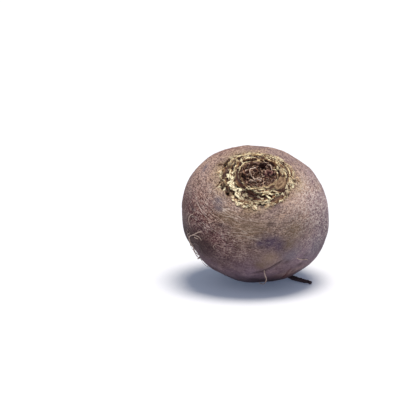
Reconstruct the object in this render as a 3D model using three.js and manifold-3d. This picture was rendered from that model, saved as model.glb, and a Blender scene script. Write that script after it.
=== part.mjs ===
// A whole beetroot, pulled and topped: one swollen root, with the crown of its cut and withered leaf bases
// at one end and the shrivelled tail of the taproot at the other. It grew as one piece, so it is one mesh.
// Millimetres, +Z up. It lies on a small flat spot, with its crown leaning to -Y. The origin is on that spot,
// under the middle of its weight.
import * as THREE from "three";
import { mergeVertices } from "three/addons/utils/BufferGeometryUtils.js";
import Module from "manifold-3d";

// Globe: a turned form about the line from tail to crown, measured from the middle of its widest section.
const HALF_WIDTH = 37.3;
const CROWN_RISE = 28.3;
const CROWN_FULLNESS = 2.75; // superellipse exponent: 2 is round, more has squarer shoulders
const ROOT_DROP = 33.5;
const ROOT_FULLNESS = 1.6; // the same for the underside: less is more pointed
const CROWN_SHIFT = 0.032; // of the upper half towards -X, as a share of its radius
// Broad unevenness: share of the radius, waves round it, where they start and how they turn with height.
const LUMPS = [
  [0.012, 2, 3.9, 0.03],
  [0.008, 3, 2.3, -0.05],
  [0.005, 5, 0.4, 0.08],
];

// How it lies: the crown's lean towards -Y and +X, and the middle of the widest section over the flat spot.
const LEAN = THREE.MathUtils.degToRad(33);
const ROLL = THREE.MathUtils.degToRad(1.5);
const CENTRE = new THREE.Vector3(0.7, 0.9, 31.5);

// Crown: a low mound with a shallow dish in the middle, both measured outwards from the line of the crown.
const MOUND_RADIUS = 19.5;
const MOUND_SLOPE = 9;
const MOUND_HEIGHT = 2;
const DISH_RADIUS = 8.6;
const DISH_SLOPE = 2;
const DISH_DEPTH = 1.1;

// Withered leaf bases, cut off short: stout crescents that clasp the crown, younger ones further in.
const LEAF_BASES = 32;
const LEAF_RADII = [9.2, 18];
const LEAF_LENGTHS = [11, 17];
const LEAF_VARIES = {
  radius: [-0.6, 0.6],
  length: [0.5, 1.2],
  skew: [-1.1, 1.1], // how much further out one end is than the middle
  height: [0.6, 1.3],
  tilt: [-0.2, 0.2],
  edge: [0.6, 1],
};
const LEAF_HEIGHTS = [1.6, 0.9]; // of the youngest and the oldest, as are the tilts
const LEAF_TILTS = [6, 34].map(THREE.MathUtils.degToRad); // outwards, from the line of the crown
const LEAF_THICKNESS = [1.6, 1]; // at its foot and where it is cut
const LEAF_TAPER = 0.55; // share of its thickness that it loses towards its ends
const LEAF_CLASP = 0.5; // how much further in its two ends are
const LEAF_END_HEIGHT = 0.15;
const LEAF_SUNK = 1.8;
const LEAF_STEPS = 5;

// Cut leaf stalks in the dish.
const STALKS = 13;
const STALK_RADII = [1.7, 2.1]; // in the middle of the dish and at its rim
const STALK_VARIES = { radius: [0.6, 1.2], stray: [-0.8, 0.8] }; // a share of its radius, and mm
const STALK_HEIGHTS = [0.4, 1.5];
const STALK_SPREAD = 6.8;
const STALK_FLATNESS = 0.75;
const STALK_SUNK = 1.5;
const STALK_SIDES = 7;

// Neck and tail: the middle of the underside is drawn out to one side, and the tail lies on the surface.
const NECK_PULL = new THREE.Vector3(4, -0.5, -1.2);
const NECK_REACH = 7;
const TAIL_PATH = [
  new THREE.Vector3(-5, 10, 8.5),
  new THREE.Vector3(3, 17.4, 4.6),
  new THREE.Vector3(10, 16.2, 2.7),
  new THREE.Vector3(15.8, 8.5, 1.7),
  new THREE.Vector3(18.6, -2, 1.1),
  new THREE.Vector3(28, -11.5, 0.95),
];
const TAIL_RADII = [1.7, 0.9];
const TAIL_KNOTS = 0.08; // how much it swells and thins again on its way
const NECK_FLARE = 5; // added to the tail's radius at its start
const NECK_FADE = 0.19; // share of the tail's length over which the flare dies down
const TAIL_SIDES = 10;
const TAIL_STEPS = 22;

// Side roots, in two shallow furrows that face away from each other.
const FURROW_ANGLES = [214, 36].map(THREE.MathUtils.degToRad);
const FURROW_DEPTH = 0.7;
const FURROW_WIDTH = 0.13; // radians round the globe
const ROOTLETS = 4; // in each furrow
const ROOTLET_SPAN = [0.97, 0.55]; // of the half width, from the highest to the lowest
const ROOTLET_LENGTHS = [4, 7];
const ROOTLET_SUNK = 1.5;
const ROOTLET_RADII = [0.55, 0.35];
const ROOTLET_STEPS = 4;
const ROOTLET_SIDES = 5;

const SEGMENTS = 64;
const CROWN_ROWS = [3.4, DISH_RADIUS - DISH_SLOPE, DISH_RADIUS, 12, 16, MOUND_RADIUS]; // their radii
const SHOULDER_ROWS = 10;
const BELLY_ROWS = 18;
const GOLDEN_ANGLE = Math.PI * (3 - Math.sqrt(5));

const RIGHT = new THREE.Vector3();
const BACK = new THREE.Vector3();
const AXIS = new THREE.Vector3(); // from tail to crown
new THREE.Matrix4().makeRotationFromEuler(new THREE.Euler(LEAN, ROLL, 0)).extractBasis(RIGHT, BACK, AXIS);

const { lerp, smoothstep } = THREE.MathUtils;
const bell = (x) => Math.exp(-x * x);
const angleBetween = (a, b) => Math.atan2(Math.sin(a - b), Math.cos(a - b));

// Repeatable draws between two values.
let drawn = 20;
function draw([low, high]) {
  drawn = (drawn * 16807) % 2147483647;
  return lerp(low, high, drawn / 2147483647);
}

// Height above the widest section, along the line of the crown, or depth below it, for a share of its radius.
const domeHeight = (share, rise, fullness) => rise * Math.max(0, 1 - share ** fullness) ** (1 / fullness);

// How far the globe is from a true turned form, as a share of its radius.
function lumps(angle, height) {
  const shift = -CROWN_SHIFT * Math.cos(angle) * smoothstep(height, -12, 14);
  return LUMPS.reduce((sum, [share, waves, start, turn]) => {
    return sum + share * Math.sin(waves * angle + start + turn * height);
  }, shift);
}

// Depth of the furrows that the side roots grow from. They run from the shoulder down to the neck.
function furrow(angle, height) {
  const along = smoothstep(-height, -10, 8) * smoothstep(height, -ROOT_DROP, -ROOT_DROP * 0.6);
  const across = FURROW_ANGLES.map((furrowAngle) => bell(angleBetween(angle, furrowAngle) / FURROW_WIDTH));
  return FURROW_DEPTH * along * Math.max(...across);
}

// A point of the globe, from its bare radius and its height over the widest section.
function globePoint(radius, angle, height) {
  const out = radius * (1 + lumps(angle, height)) - (furrow(angle, height) * radius) / HALF_WIDTH;
  return CENTRE.clone()
    .addScaledVector(RIGHT, out * Math.cos(angle))
    .addScaledVector(BACK, out * Math.sin(angle))
    .addScaledVector(AXIS, height);
}

function crownPoint(radius, angle) {
  const mound = MOUND_HEIGHT * smoothstep(MOUND_RADIUS - radius, 0, MOUND_SLOPE);
  const dish = DISH_DEPTH * smoothstep(DISH_RADIUS - radius, 0, DISH_SLOPE);
  const height = domeHeight(radius / HALF_WIDTH, CROWN_RISE, CROWN_FULLNESS) + mound - dish;
  return globePoint(radius, angle, height);
}

function rootPoint(radius, angle) {
  const point = globePoint(radius, angle, -domeHeight(radius / HALF_WIDTH, ROOT_DROP, ROOT_FULLNESS));
  return point.addScaledVector(NECK_PULL, bell(radius / NECK_REACH));
}

// A closed mesh from rings of points, with a point at each end.
function loft(first, rings, last) {
  const sides = rings[0].length;
  const points = [first, ...rings.flat(), last];
  const index = [];
  for (let i = 0; i < sides; i += 1) {
    const j = (i + 1) % sides;
    index.push(0, 1 + i, 1 + j);
    for (let k = 0; k < rings.length - 1; k += 1) {
      const [a, b] = [1 + k * sides, 1 + (k + 1) * sides];
      index.push(a + i, b + i, b + j, a + i, b + j, a + j);
    }
    const end = 1 + (rings.length - 1) * sides;
    index.push(end + i, points.length - 1, end + j);
  }
  return new THREE.BufferGeometry().setFromPoints(points).setIndex(index);
}

// Pieces set out in a spiral, each with its share of the way out and its angle.
function spiral(count, piece) {
  return Array.from({ length: count }, (_, i) => piece((i + 0.4) / count, i * GOLDEN_ANGLE));
}

function middleOf(points) {
  return points.reduce((sum, point) => sum.add(point), new THREE.Vector3()).divideScalar(points.length);
}

const ring = (sides, point) => Array.from({ length: sides }, (_, i) => point((2 * Math.PI * i) / sides));

function globe() {
  const rings = [];
  for (const radius of CROWN_ROWS) {
    rings.push(ring(SEGMENTS, (angle) => crownPoint(radius, angle)));
  }
  const shoulder = Math.asin(MOUND_RADIUS / HALF_WIDTH);
  for (let i = 1; i <= SHOULDER_ROWS; i += 1) {
    const radius = HALF_WIDTH * Math.sin(lerp(shoulder, Math.PI / 2, i / SHOULDER_ROWS));
    rings.push(ring(SEGMENTS, (angle) => crownPoint(radius, angle)));
  }
  for (let i = 1; i < BELLY_ROWS; i += 1) {
    const radius = HALF_WIDTH * Math.cos(((Math.PI / 2) * i) / BELLY_ROWS);
    rings.push(ring(SEGMENTS, (angle) => rootPoint(radius, angle)));
  }
  return loft(crownPoint(0, 0), rings, rootPoint(0, 0));
}

// A tube along a curve, with a radius at each of its steps.
function tube(curve, steps, sides, radiusAt) {
  const frames = curve.computeFrenetFrames(steps, false);
  const rings = [];
  for (let i = 0; i <= steps; i += 1) {
    const middle = curve.getPointAt(i / steps);
    const radius = radiusAt(i / steps);
    const rim = (angle) =>
      middle
        .clone()
        .addScaledVector(frames.normals[i], radius * Math.cos(angle))
        .addScaledVector(frames.binormals[i], -radius * Math.sin(angle));
    rings.push(ring(sides, rim));
  }
  return loft(curve.getPointAt(0), rings, curve.getPointAt(1));
}

function tail() {
  const flare = (along) => NECK_FLARE * Math.exp(-along / NECK_FADE);
  const radiusAt = (along) => lerp(...TAIL_RADII, along) + flare(along) + TAIL_KNOTS * Math.sin(31 * along);
  return tube(new THREE.CatmullRomCurve3(TAIL_PATH), TAIL_STEPS, TAIL_SIDES, radiusAt);
}

// A crescent on the crown, tilted outwards, with its foot sunk in the mound. Age goes from 0 to 1.
function leafBase(age, middleAngle) {
  const radius = lerp(...LEAF_RADII, age) + draw(LEAF_VARIES.radius);
  const halfSpan = ((lerp(...LEAF_LENGTHS, age) / radius) * draw(LEAF_VARIES.length)) / 2;
  const skew = draw(LEAF_VARIES.skew);
  const height = lerp(...LEAF_HEIGHTS, age) * draw(LEAF_VARIES.height);
  const tilt = lerp(...LEAF_TILTS, age) + draw(LEAF_VARIES.tilt);
  const rings = [];
  for (let i = 0; i <= LEAF_STEPS; i += 1) {
    const t = (2 * i) / LEAF_STEPS - 1;
    const angle = middleAngle + halfSpan * t;
    const outward = RIGHT.clone().multiplyScalar(Math.cos(angle)).addScaledVector(BACK, Math.sin(angle));
    const up = AXIS.clone().multiplyScalar(Math.cos(tilt)).addScaledVector(outward, Math.sin(tilt));
    const across = outward.clone().multiplyScalar(Math.cos(tilt)).addScaledVector(AXIS, -Math.sin(tilt));
    const foot = crownPoint(radius + skew * t - LEAF_CLASP * t * t, angle);
    const [thick, thin] = LEAF_THICKNESS.map((thickness) => thickness * (1 - LEAF_TAPER * t * t));
    const edge = LEAF_END_HEIGHT + height * (1 - t ** 4) * draw(LEAF_VARIES.edge);
    const corner = (rise, side) => foot.clone().addScaledVector(up, rise).addScaledVector(across, side / 2);
    const outerFace = [corner(-LEAF_SUNK, thick), corner(edge, thin)];
    const innerFace = [corner(edge, -thin), corner(-LEAF_SUNK, -thick)];
    rings.push([...outerFace, ...innerFace]);
  }
  return loft(middleOf(rings[0]), rings, middleOf(rings.at(-1)));
}

const leafBases = () => spiral(LEAF_BASES, (share, angle) => leafBase(share, angle));

// A short cut stalk that stands in the dish, worn round at its edge and a little hollow on top.
function stalk(away, turn) {
  const foot = crownPoint(away, turn)
    .addScaledVector(RIGHT, draw(STALK_VARIES.stray))
    .addScaledVector(BACK, draw(STALK_VARIES.stray));
  const height = draw(STALK_HEIGHTS);
  const radius = lerp(...STALK_RADII, away / STALK_SPREAD) * draw(STALK_VARIES.radius);
  const level = (rise, size) =>
    ring(STALK_SIDES, (angle) =>
      foot
        .clone()
        .addScaledVector(RIGHT, size * Math.cos(angle + turn))
        .addScaledVector(BACK, STALK_FLATNESS * size * Math.sin(angle + turn))
        .addScaledVector(AXIS, rise),
    );
  const top = foot.clone().addScaledVector(AXIS, 0.8 * height);
  const under = foot.clone().addScaledVector(AXIS, -STALK_SUNK);
  const levels = [level(height, 0.85 * radius), level(0.6 * height, radius), level(-STALK_SUNK, radius)];
  return loft(top, levels, under);
}

const stalks = () => spiral(STALKS, (share, angle) => stalk(STALK_SPREAD * Math.sqrt(share), angle));

// A thin side root that leaves its furrow and bends down along the skin.
function rootlet(angle, radius) {
  const foot = rootPoint(radius, angle);
  const outward = foot.clone().sub(CENTRE).normalize();
  const sideways = new THREE.Vector3().crossVectors(AXIS, outward).normalize().multiplyScalar(draw([-1, 1]));
  const length = draw(ROOTLET_LENGTHS);
  const curve = new THREE.QuadraticBezierCurve3(
    foot.clone().addScaledVector(outward, -ROOTLET_SUNK),
    foot.clone().addScaledVector(outward, 0.35 * length),
    foot
      .clone()
      .addScaledVector(outward, 0.1 * length)
      .addScaledVector(sideways, 0.7 * length)
      .addScaledVector(AXIS, -0.4 * length),
  );
  return tube(curve, ROOTLET_STEPS, ROOTLET_SIDES, (along) => lerp(...ROOTLET_RADII, along));
}

function rootlets() {
  return FURROW_ANGLES.flatMap((furrowAngle) =>
    Array.from({ length: ROOTLETS }, (_, i) => {
      const radius = HALF_WIDTH * lerp(...ROOTLET_SPAN, (i + draw([0, 0.6])) / ROOTLETS);
      return rootlet(furrowAngle + draw([-0.08, 0.08]), radius);
    }),
  );
}

const wasm = await Module();
wasm.setup();

function solid(geometry) {
  const merged = mergeVertices(geometry, 1e-4);
  const vertProperties = merged.getAttribute("position").array;
  const triVerts = new Uint32Array(merged.index.array);
  return new wasm.Manifold(new wasm.Mesh({ numProp: 3, vertProperties, triVerts }));
}

const pieces = [globe(), tail(), ...leafBases(), ...stalks(), ...rootlets()];
const grown = wasm.Manifold.union(pieces.map(solid)).trimByPlane([0, 0, 1], 0);
const { vertProperties, triVerts } = grown.getMesh();
const surface = new THREE.BufferGeometry();
surface.setAttribute("position", new THREE.BufferAttribute(vertProperties, 3));
surface.setIndex(new THREE.BufferAttribute(triVerts, 1));
surface.computeVertexNormals();

const skin = new THREE.MeshStandardMaterial({ color: 0x8a6f6c, roughness: 0.72, metalness: 0 });
const root = new THREE.Mesh(surface, skin);
root.name = "beetroot";

const beetroot = new THREE.Group();
beetroot.add(root);
export default beetroot;
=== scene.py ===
import math
from collections import namedtuple

import bpy
import numpy as np
from mathutils import Matrix, Vector


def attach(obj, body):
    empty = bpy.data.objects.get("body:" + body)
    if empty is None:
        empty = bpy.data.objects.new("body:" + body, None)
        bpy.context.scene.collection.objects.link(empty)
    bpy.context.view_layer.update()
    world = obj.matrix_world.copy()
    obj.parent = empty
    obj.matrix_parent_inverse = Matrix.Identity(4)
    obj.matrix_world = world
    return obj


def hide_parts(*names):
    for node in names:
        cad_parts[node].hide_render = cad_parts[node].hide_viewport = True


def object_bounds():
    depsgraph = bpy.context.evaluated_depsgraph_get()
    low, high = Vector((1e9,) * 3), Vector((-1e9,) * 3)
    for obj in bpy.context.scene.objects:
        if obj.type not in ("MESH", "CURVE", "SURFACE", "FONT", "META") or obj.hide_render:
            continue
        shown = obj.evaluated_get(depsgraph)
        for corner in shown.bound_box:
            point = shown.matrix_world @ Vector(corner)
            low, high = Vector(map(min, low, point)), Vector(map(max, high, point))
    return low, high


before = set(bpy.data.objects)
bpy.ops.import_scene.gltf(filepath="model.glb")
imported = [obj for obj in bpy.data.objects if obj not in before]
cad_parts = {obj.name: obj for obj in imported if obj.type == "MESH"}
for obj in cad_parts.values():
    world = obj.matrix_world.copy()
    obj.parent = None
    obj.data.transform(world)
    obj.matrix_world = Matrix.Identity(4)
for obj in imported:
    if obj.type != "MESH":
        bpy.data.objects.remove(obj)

# A whole beetroot with its leaves cut off, lying on a small flat spot with its crown forward. Its pieces
# stand for the one solid of the frame. Sizes are in mm, angles in lists in degrees, and meshes in metres.

CAD_LOW, CAD_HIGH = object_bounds()
MM = 0.001

# ---- the globe, as the solid has it

HALF_WIDTH = 37.3
CROWN_RISE, CROWN_FULLNESS = 28.3, 2.75
ROOT_DROP, ROOT_FULLNESS = 33.5, 1.6
CROWN_SHIFT = 0.032
LUMPS = [(0.012, 2, 3.9, 0.03), (0.008, 3, 2.3, -0.05), (0.005, 5, 0.4, 0.08)]
CENTRE = np.array([0.7, 0.9, 31.5])
MOUND_RADIUS, MOUND_SLOPE, MOUND_HEIGHT = 19.5, 9, 2
DISH_RADIUS, DISH_SLOPE, DISH_DEPTH = 8.6, 2, 1.1
NECK_PULL = np.array([4, -0.5, -1.2])
NECK_REACH = 7
FURROW_ANGLES = [math.radians(214), math.radians(36)]
FURROW_DEPTH, FURROW_WIDTH = 0.7, 0.13
GOLDEN_ANGLE = np.pi * (3 - math.sqrt(5))

LEAN, ROLL = math.radians(33), math.radians(1.5)
LIE = Matrix.Rotation(LEAN, 3, "X") @ Matrix.Rotation(ROLL, 3, "Y")
RIGHT, BACK, AXIS = np.array(LIE.transposed())

# ---- small tools for shapes


DRAW_FACTOR, DRAW_SPAN = 16807, 2**31 - 1


class Draws:
    """Repeatable draws: the same row of numbers from the same start."""

    def __init__(self, start):
        self.drawn = start

    def between(self, low, high):
        self.drawn = self.drawn * DRAW_FACTOR % DRAW_SPAN
        return low + (high - low) * self.drawn / DRAW_SPAN

    def each(self, limits):
        return [self.between(*pair) for pair in limits]


def lerp(low, high, share):
    return low + (high - low) * share


def ramp(x, low, high):
    """From 0 at low to 1 at high, smoothly."""
    share = np.clip((x - low) / (high - low), 0, 1)
    return share * share * (3 - 2 * share)


def bell(x):
    return np.exp(-x * x)


def angle_between(a, b):
    return np.arctan2(np.sin(a - b), np.cos(a - b))


def sector(angle, middle, width):
    """1 at the middle of a sector, in degrees, and less on both sides of it, over a width in radians."""
    return bell(angle_between(angle, math.radians(middle)) / width)


def unit(vectors):
    return vectors / np.linalg.norm(vectors, axis=-1, keepdims=True)


SWELL_WAVES = 26


def swells(places, size, seed):
    """Smooth unevenness, mostly from -1 to 1, over places in mm, with swells about size mm across."""
    draws = np.random.default_rng(seed)
    waves = unit(draws.normal(size=(SWELL_WAVES, 3))) * draws.uniform(0.6, 1.5, (SWELL_WAVES, 1))
    starts = draws.uniform(0, 2 * np.pi, SWELL_WAVES)
    heights = np.sin(np.asarray(places) @ (waves.T * np.pi / size) + starts)
    return heights.sum(axis=-1) / math.sqrt(SWELL_WAVES)


def run_along(path):
    """The way along a path to each of its points."""
    return np.concatenate([[0], np.cumsum(np.linalg.norm(np.diff(path, axis=0), axis=1))])


Form = namedtuple("Form", "points faces fields")


def loft(rings, first, last, fields):
    """A closed form through rings of points, from a first point to a last, with fields of values."""
    rows, sides = rings.shape[:2]
    i = np.arange(sides)
    j = (i + 1) % sides
    points = np.vstack([first, rings.reshape(-1, 3), last])
    starts = 1 + sides * np.arange(rows - 1)[:, None]
    walls = np.stack([starts + i, starts + sides + i, starts + sides + j, starts + j], axis=-1)
    end = 1 + sides * (rows - 1)
    first_fan = np.stack([0 * i, 1 + i, 1 + j], axis=-1)
    last_fan = np.stack([end + i, 0 * i + len(points) - 1, end + j], axis=-1)
    faces = first_fan.tolist() + walls.reshape(-1, 4).tolist() + last_fan.tolist()
    spread = {}
    for name, values in fields.items():
        if np.ndim(values) < 3:
            values = np.broadcast_to(values, (rows, sides))
        flat = values.reshape(rows * sides, *values.shape[2:])
        spread[name] = np.concatenate([values[:1].mean(axis=1), flat, values[-1:].mean(axis=1)])
    return Form(points, faces, spread)


def tube(path, radii, sides, fields, roughness=None, grain=(1, 1, 1)):
    """A closed tube along a path, with a radius at each of its points."""
    ahead = unit(np.gradient(path, axis=0))
    side = unit(np.cross(ahead, [0.02, 0.01, 1]))
    up = np.cross(side, ahead)
    turn = np.linspace(0, 2 * np.pi, sides, endpoint=False)[:, None]
    rim = side[:, None] * np.cos(turn) + up[:, None] * np.sin(turn)
    out = np.broadcast_to(np.asarray(radii)[:, None], rim.shape[:2])
    rings = path[:, None] + rim * out[..., None]
    if roughness is not None:
        rings = rings + rim * roughness(rings)[..., None]
    across, upward = out * np.cos(turn[:, 0]), out * np.sin(turn[:, 0])
    lie = np.stack([across, upward, run_along(path)[:, None] + 0 * across], axis=-1) * grain
    return loft(rings, path[0], path[-1], {"lie": lie, **fields})


def object_of(name, data):
    thing = bpy.data.objects.new(name, data)
    bpy.context.scene.collection.objects.link(thing)
    return thing


def mesh_of(name, points, faces, material):
    mesh = bpy.data.meshes.new(name)
    mesh.from_pydata(points, [], faces)
    mesh.materials.append(material)
    return mesh


def piece_of(name, forms, material):
    """One object from closed forms. What would reach below the floor is flattened on it."""
    points = np.concatenate([form.points for form in forms])
    points[:, 2] = np.maximum(points[:, 2], CAD_LOW.z / MM)
    faces = []
    start = 0
    for form in forms:
        faces += [[start + corner for corner in face] for face in form.faces]
        start += len(form.points)
    mesh = mesh_of(name, points * MM, faces, material)
    for field in forms[0].fields:
        values = np.concatenate([form.fields[field] for form in forms]).astype(np.float32)
        kind, key = ("FLOAT_VECTOR", "vector") if values.ndim == 2 else ("FLOAT", "value")
        mesh.attributes.new(field, kind, "POINT").data.foreach_set(key, values.ravel())
    mesh.shade_smooth()
    piece = object_of(name, mesh)
    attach(piece, "root")
    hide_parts("beetroot")


# ---- the bare globe


def dome_height(share, rise, fullness):
    return rise * np.maximum(0, 1 - share**fullness) ** (1 / fullness)


def lumps(angle, height):
    shift = -CROWN_SHIFT * np.cos(angle) * ramp(height, -12, 14)
    for share, waves, start, turn in LUMPS:
        shift = shift + share * np.sin(waves * angle + start + turn * height)
    return shift


def furrow(angle, height):
    along = ramp(-height, -10, 8) * ramp(height, -ROOT_DROP, -ROOT_DROP * 0.6)
    across = [bell(angle_between(angle, middle) / FURROW_WIDTH) for middle in FURROW_ANGLES]
    return FURROW_DEPTH * along * np.maximum(*across)


def outward_at(angle):
    return np.cos(angle)[..., None] * RIGHT + np.sin(angle)[..., None] * BACK


def globe_point(radius, angle, height):
    out = radius * (1 + lumps(angle, height)) - furrow(angle, height) * radius / HALF_WIDTH
    return CENTRE + out[..., None] * outward_at(angle) + (height + 0 * out)[..., None] * AXIS


def crown_height(radius):
    mound = MOUND_HEIGHT * ramp(MOUND_RADIUS - radius, 0, MOUND_SLOPE)
    dish = DISH_DEPTH * ramp(DISH_RADIUS - radius, 0, DISH_SLOPE)
    return dome_height(radius / HALF_WIDTH, CROWN_RISE, CROWN_FULLNESS) + mound - dish


def crown_point(radius, angle):
    radius, angle = np.broadcast_arrays(radius, angle)
    return globe_point(radius, angle, crown_height(radius))


def root_height(radius):
    return -dome_height(radius / HALF_WIDTH, ROOT_DROP, ROOT_FULLNESS)


OUTLINE_STEPS = 3000  # in each of its halves


def outline():
    """Ways along the skin from the crown's middle to the root's, with radii and heights."""
    turn = np.linspace(0, np.pi / 2, OUTLINE_STEPS)
    crown_radius = HALF_WIDTH * np.sin(turn)
    root_radius = HALF_WIDTH * np.cos(turn[1:])
    radius = np.concatenate([crown_radius, root_radius])
    height = np.concatenate([crown_height(crown_radius), root_height(root_radius)])
    way = np.concatenate([[0], np.cumsum(np.hypot(np.diff(radius), np.diff(height)))])
    return way, radius, height, way[len(turn) - 1]


WAY, RADIUS, HEIGHT, WIDEST_WAY = outline()
ROOT_WAY = WAY[-1]


def skin_at(way, angle):
    """The place on the bare skin at a way from the crown's middle and an angle."""
    way, angle = np.broadcast_arrays(np.asarray(way, float), np.asarray(angle, float))
    radius = np.interp(way, WAY, RADIUS)
    pull = np.where(way > WIDEST_WAY, bell(radius / NECK_REACH), 0)
    return globe_point(radius, angle, np.interp(way, WAY, HEIGHT)) + pull[..., None] * NECK_PULL


# ---- the crown's leaf bases

LEAF_BASES = 32
LEAF_RADII, LEAF_LENGTHS, LEAF_HEIGHTS = (9.2, 18), (11, 17), (1.6, 0.9)
LEAF_TILTS = (math.radians(6), math.radians(34))
LEAF_VARIES = [(-0.6, 0.6), (0.5, 1.2), (-1.1, 1.1), (0.6, 1.3), (-0.2, 0.2)]  # in the order of first_leaves
LEAF_EDGES, EDGE_DRAWS = (0.6, 1), 6  # shares of its height along its torn edge, and how many are drawn
LEAF_THICKNESS, LEAF_TAPER = (1.6, 1.1), 0.55
LEAF_INWARD, INWARD_RADII = (0.35, 1), (9.5, 12.5)  # its inner side slopes less next to the dish
LEAF_END_HEIGHT, LEAF_SUNK = 0.15, 1.8
LEAF_STEP, LEAF_STATIONS = 0.26, (12, 64)  # mm between its sections, and the fewest and most of them
# Round a leaf base's section: the share of its height, or -1 where it is sunk, how far out it is, and how
# much it is on the torn top and on the pale edge.
LEAF_SECTION = [
    (-1, 1, 0, 0), (0, 1, 0, 0), (0.4, 1, 0, 0), (0.8, 1, 0, 0.2), (0.97, 0.95, 0.4, 1), (1, 0.6, 1, 1),
    (0.93, 0.2, 0.9, 0.7), (0.85, -0.4, 0.3, 0), (0.76, -1, 0.1, 0), (0.6, -1.6, 0, 0), (0.38, -2.2, 0, 0),
    (0.1, -2.7, 0, 0), (-1, -2.8, 0, 0),
]

LEAF_CLASP, SCRAP_CLASP, LEAF_CURL = 0.5, 0.1, 0.1
Leaf = namedtuple("Leaf", "radius angle half_span skew height tilt edges thick curl straw clasp")


def first_leaves(draws):
    """The clasping leaf bases, where the solid has them. The outer ones are older and paler."""
    for i in range(LEAF_BASES):
        age = (i + 0.4) / LEAF_BASES
        stray, longer, skew, taller, askew = draws.each(LEAF_VARIES)
        edges = draws.each([LEAF_EDGES] * EDGE_DRAWS)
        radius = lerp(*LEAF_RADII, age) + stray
        half_span = lerp(*LEAF_LENGTHS, age) * longer / radius / 2
        height = lerp(*LEAF_HEIGHTS, age) * taller
        tilt = lerp(*LEAF_TILTS, age) + askew
        straw = 0.4 + 0.3 * age + 0.7 * math.sin(7.3 * i)
        shape = (half_span, skew, height, tilt, edges, LEAF_THICKNESS, LEAF_CURL, straw, LEAF_CLASP)
        yield Leaf(radius, i * GOLDEN_ANGLE, *shape)


# What varies from scrap to scrap: length, skew, height, tilt, torn edge, curl, and how pale it is.
SHREDS = 120
SHRED_RADII, SHRED_STRAY, SHRED_TURN = (10, 17.6), (-0.7, 0.7), (-0.15, 0.15)
SHRED_START = 1.1  # radians round from the first leaf base
SHRED_TILTS, SHRED_THICKNESS = (0.3, 1.2), (0.7, 0.35)
SHRED_VARIES = [(1.4, 6), (-1.7, 1.7), (0.4, 1.5), (-0.4, 0.4), (0.3, 1), (-0.3, 0.7), (-0.2, 1.5)]
CRUMBS = 110
CRUMB_RADII, CRUMB_CROWDING = (15.5, 21), (0.3, 1)
CRUMB_VARIES = [(0.6, 1.5), (-0.8, 0.8), (0.3, 0.7), (0.9, 1.3), (0.2, 1), (0, 0.2), (0.4, 1.8)]
FLAKE_EDGES, FLAKE_THICKNESS = (0.25, 1), (0.5, 0.3)


def scrap(draws, radius, angle, varies, thick, tilt=0, widest=np.pi):
    """A scrap of a leaf, whose ends are at most widest from its middle, in radians."""
    length, skew, height, askew = draws.each(varies[:4])
    edges = draws.each([varies[4]] * EDGE_DRAWS)
    curl, straw = draws.each(varies[5:])
    half_span = min(widest, length / radius / 2)
    return Leaf(radius, angle, half_span, skew, height, tilt + askew, edges, thick, curl, straw, SCRAP_CLASP)


def torn_shreds(draws):
    """Shreds of older leaf bases between the clasping ones, some of them askew."""
    for i in range(SHREDS):
        age = (i + 0.5) / SHREDS
        radius = lerp(*SHRED_RADII, age) + draws.between(*SHRED_STRAY)
        angle = SHRED_START + i * GOLDEN_ANGLE + draws.between(*SHRED_TURN)
        yield scrap(draws, radius, angle, SHRED_VARIES, SHRED_THICKNESS, lerp(*SHRED_TILTS, age))


def scattered_crumbs(draws):
    """Crumbs of the oldest leaf bases, scattered outside the others, nearly flat on the skin."""
    for _ in range(CRUMBS):
        radius = lerp(*CRUMB_RADII, draws.between(0, 1) * draws.between(*CRUMB_CROWDING))
        yield scrap(draws, radius, draws.between(0, 2 * np.pi), CRUMB_VARIES, FLAKE_THICKNESS)


def placed_scraps(scraps, draws, edge_heights, thick):
    """Scraps placed one by one. Only their torn edges are drawn."""
    for radius, angle, length, skew, height, tilt, curl, straw in scraps:
        edges = draws.each([edge_heights] * EDGE_DRAWS)
        angle, tilt = math.radians(angle), math.radians(tilt)
        shape = (length / radius / 2, skew, height, tilt, edges, thick, curl, straw, SCRAP_CLASP)
        yield Leaf(radius, angle, *shape)


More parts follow.
